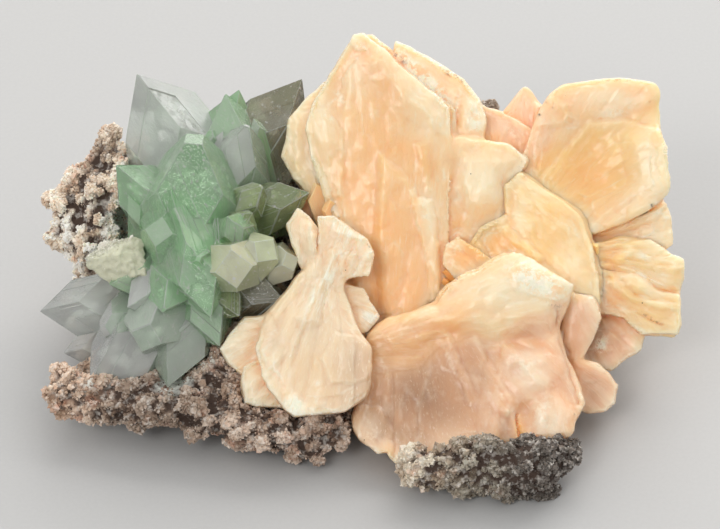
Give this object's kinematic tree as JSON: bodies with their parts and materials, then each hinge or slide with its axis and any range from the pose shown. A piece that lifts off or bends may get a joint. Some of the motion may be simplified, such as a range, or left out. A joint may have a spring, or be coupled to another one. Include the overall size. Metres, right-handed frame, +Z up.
{
  "type": "stilbite specimen",
  "caption": "Hand specimen of peach stilbite sheaves beside a cluster of green apophyllite crystals, grown on a crumbly matrix that rests on a flat underside.",
  "frame": {"origin": "centre of the flat underside of the matrix, which is the surface that the specimen rests on", "axes": "+Z up, +X to the right along the specimen's length, and -Y towards the side that shows the crystals"},
  "size_m": [0.1155, 0.0816, 0.0554],
  "materials": {
    "matrix": "crumbly, coated with pinkish white grains about 1 mm across",
    "apophyllite": "clear to cloudy pale green crystal, vitreous",
    "coated_crystal": "dull crystal dusted with whitish grains",
    "stilbite": "translucent peach, pearly, finely striated",
    "cream_stilbite": "translucent cream, pearly, finely striated"
  },
  "bodies": {
    "root": {"matrix": "matrix", "apophyllite_cluster": "apophyllite", "coated_apophyllite": "coated_crystal", "stilbite_middle_sheaf": "stilbite", "stilbite_crossing_blade": "stilbite", "stilbite_right_sheaf": "stilbite", "stilbite_edge_spray": "stilbite", "stilbite_lower_sheaf": "stilbite", "stilbite_bow_tie": "cream_stilbite"}
  },
  "joints": []
}
